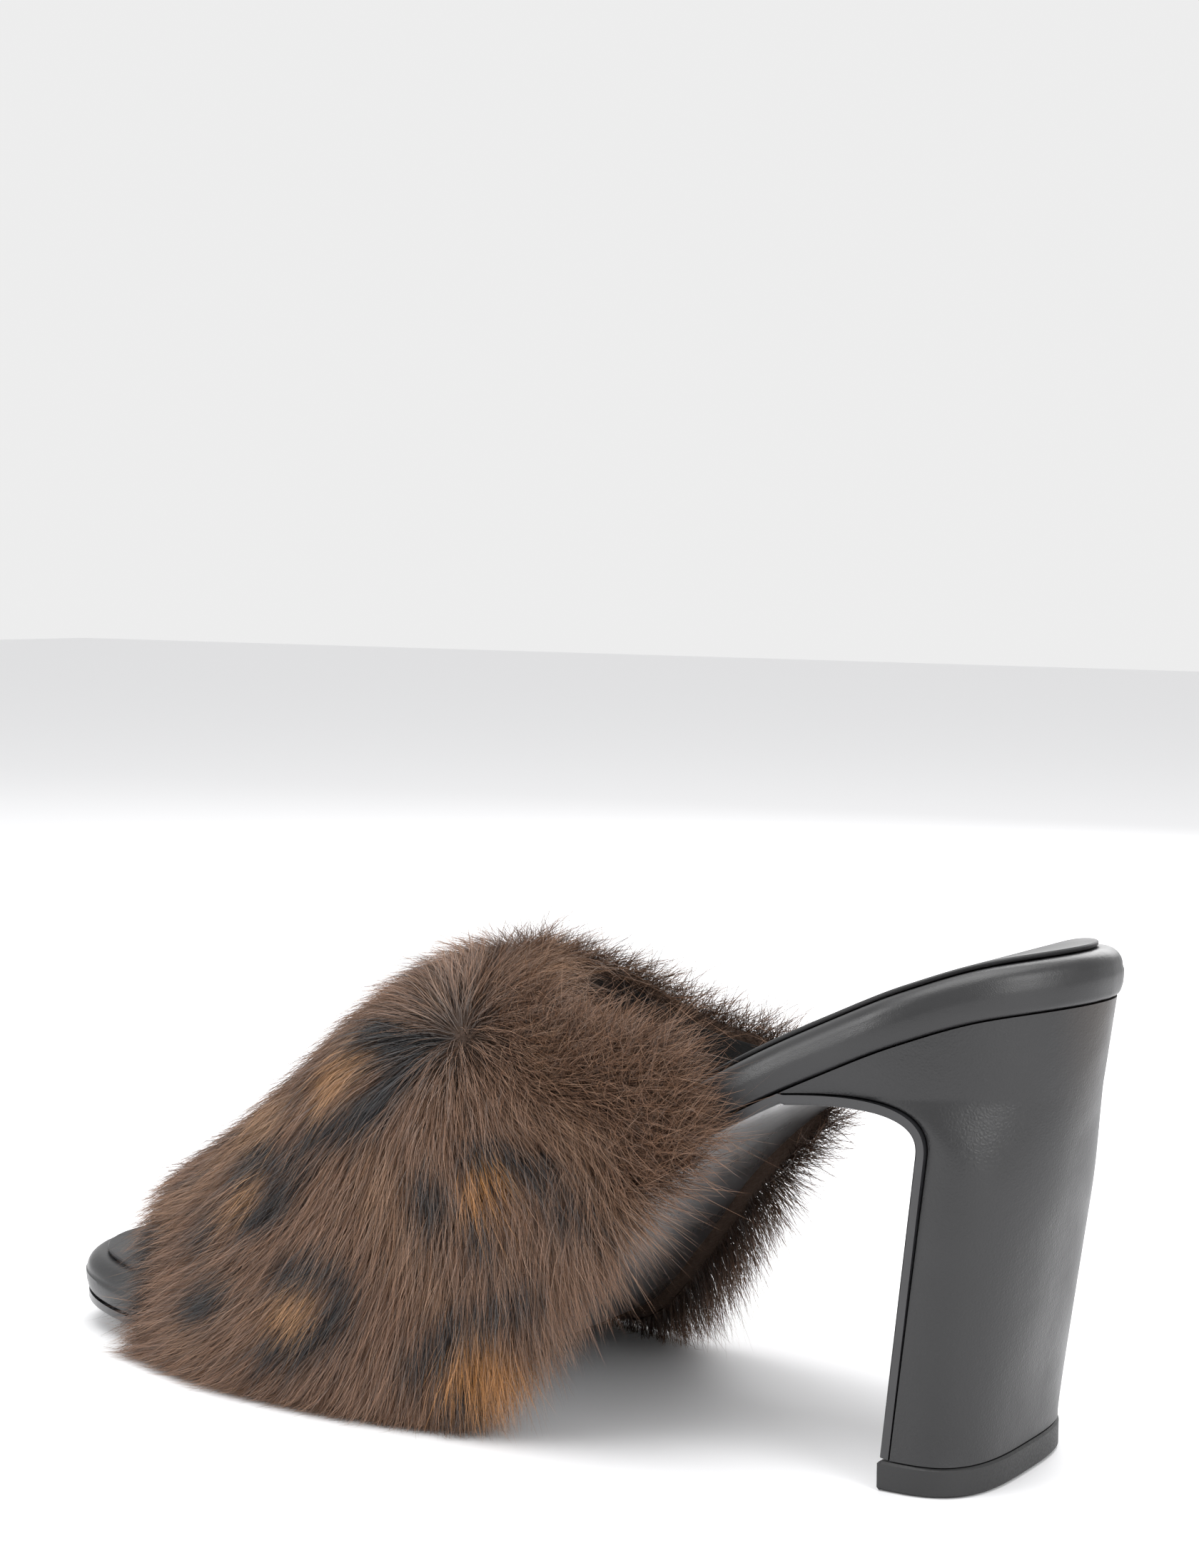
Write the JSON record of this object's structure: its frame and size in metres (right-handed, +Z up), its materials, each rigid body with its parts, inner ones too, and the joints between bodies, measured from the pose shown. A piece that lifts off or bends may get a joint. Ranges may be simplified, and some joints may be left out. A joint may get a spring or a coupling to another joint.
{
  "type": "heeled mule",
  "caption": "Backless heeled shoe with a deep-fur vamp band, open toe, leather-wrapped footbed, thin sole and a tall block heel",
  "frame": {"origin": "middle of the heel tip's resting face, on the floor plane that the forefoot also rests on", "axes": "+Z up; -Y towards the toe; +X towards the shoe's left side, which is the outer side of this left shoe"},
  "size_m": [0.0919, 0.2249, 0.0952],
  "materials": {
    "fur": "deep brown faux fur with black and tan leopard spots",
    "leather": "fine-grained black leather, satin",
    "sock": "smooth black sock leather, satin",
    "sole": "smooth black sole, semi-gloss",
    "heel_leather": "fine-grained black leather cover, satin",
    "rubber": "matt black rubber"
  },
  "bodies": {
    "root": {"upper": "fur", "footbed": "leather", "insole": "sock", "outsole": "sole", "heel": "heel_leather", "heel_tip": "rubber"}
  },
  "joints": []
}
